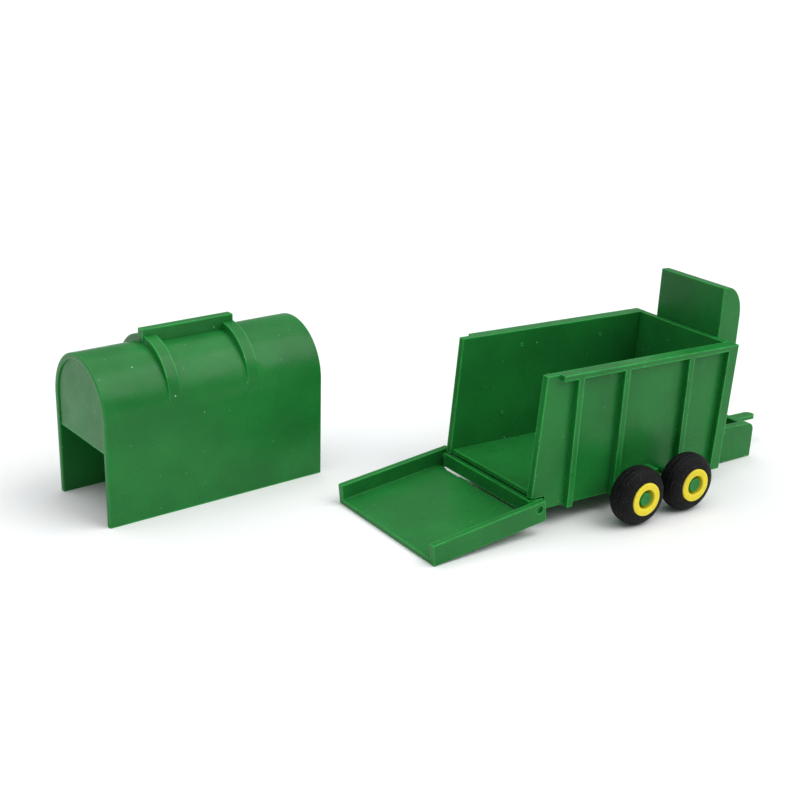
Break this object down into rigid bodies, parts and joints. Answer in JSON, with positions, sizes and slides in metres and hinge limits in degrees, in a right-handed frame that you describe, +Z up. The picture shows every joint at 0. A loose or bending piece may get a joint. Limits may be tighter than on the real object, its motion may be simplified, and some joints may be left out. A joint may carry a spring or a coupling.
{
  "type": "toy stack wagon",
  "caption": "Toy farm wagon: open ribbed box on tandem rubber wheels, fold-down tray tailgate, front spout tower, tongue, and a loose arched cover beside it.",
  "frame": {"origin": "middle of the table area that the wagon and the cover take up together, on the table", "axes": "+X forwards to the tongue, +Y to the wagon's left where the cover stands, +Z up"},
  "size_m": [0.1717, 0.091, 0.0473],
  "materials": {
    "box_green": "semi-gloss moulded polystyrene",
    "gate_green": "semi-gloss moulded polystyrene",
    "header_green": "semi-gloss moulded polystyrene",
    "cover_green": "semi-gloss moulded polystyrene",
    "rim_yellow": "glossy moulded plastic",
    "tyre_black": "matt rubber"
  },
  "bodies": {
    "wagon": {"floor_pan": "box_green", "side_wall_right": "box_green", "side_wall_left": "box_green", "front_wall": "box_green", "hinge_bar": "box_green", "hinge_pin_right": "box_green", "hinge_pin_left": "box_green", "spout_tower": "header_green", "header_plate_right": "header_green", "header_plate_left": "header_green", "header_cross_bar": "header_green", "tongue": "header_green", "wheel_block_right": "box_green", "wheel_block_left": "box_green", "axle_stub_rear_right": "box_green", "axle_stub_rear_left": "box_green", "axle_stub_front_right": "box_green", "axle_stub_front_left": "box_green"},
    "tailgate": {"tailgate": "gate_green"},
    "wheel_rear_right": {"wheel_rim_rear_right": "rim_yellow", "tyre_rear_right": "tyre_black"},
    "wheel_rear_left": {"wheel_rim_rear_left": "rim_yellow", "tyre_rear_left": "tyre_black"},
    "wheel_front_right": {"wheel_rim_front_right": "rim_yellow", "tyre_front_right": "tyre_black"},
    "wheel_front_left": {"wheel_rim_front_left": "rim_yellow", "tyre_front_left": "tyre_black"},
    "cover": {"cover": "cover_green"}
  },
  "joints": [
    {"name": "tailgate_hinge", "type": "hinge", "parent": "wagon", "child": "tailgate", "pos_m": [-0.00407, -0.01702, 0.0065], "axis": [0, 1, 0], "range_deg": [0, 102]},
    {"name": "wheel_rear_right_spin", "type": "hinge", "parent": "wagon", "child": "wheel_rear_right", "pos_m": [0.01973, -0.04252, 0.007], "axis": [0, 1, 0], "continuous": true},
    {"name": "wheel_rear_left_spin", "type": "hinge", "parent": "wagon", "child": "wheel_rear_left", "pos_m": [0.01973, 0.00848, 0.007], "axis": [0, 1, 0], "continuous": true},
    {"name": "wheel_front_right_spin", "type": "hinge", "parent": "wagon", "child": "wheel_front_right", "pos_m": [0.03535, -0.04252, 0.007], "axis": [0, 1, 0], "continuous": true},
    {"name": "wheel_front_left_spin", "type": "hinge", "parent": "wagon", "child": "wheel_front_left", "pos_m": [0.03535, 0.00848, 0.007], "axis": [0, 1, 0], "continuous": true},
    {"name": "cover_lift", "type": "slide", "parent": "wagon", "child": "cover", "axis": [0, 0, 1], "range_m": [0, 0.06]}
  ]
}
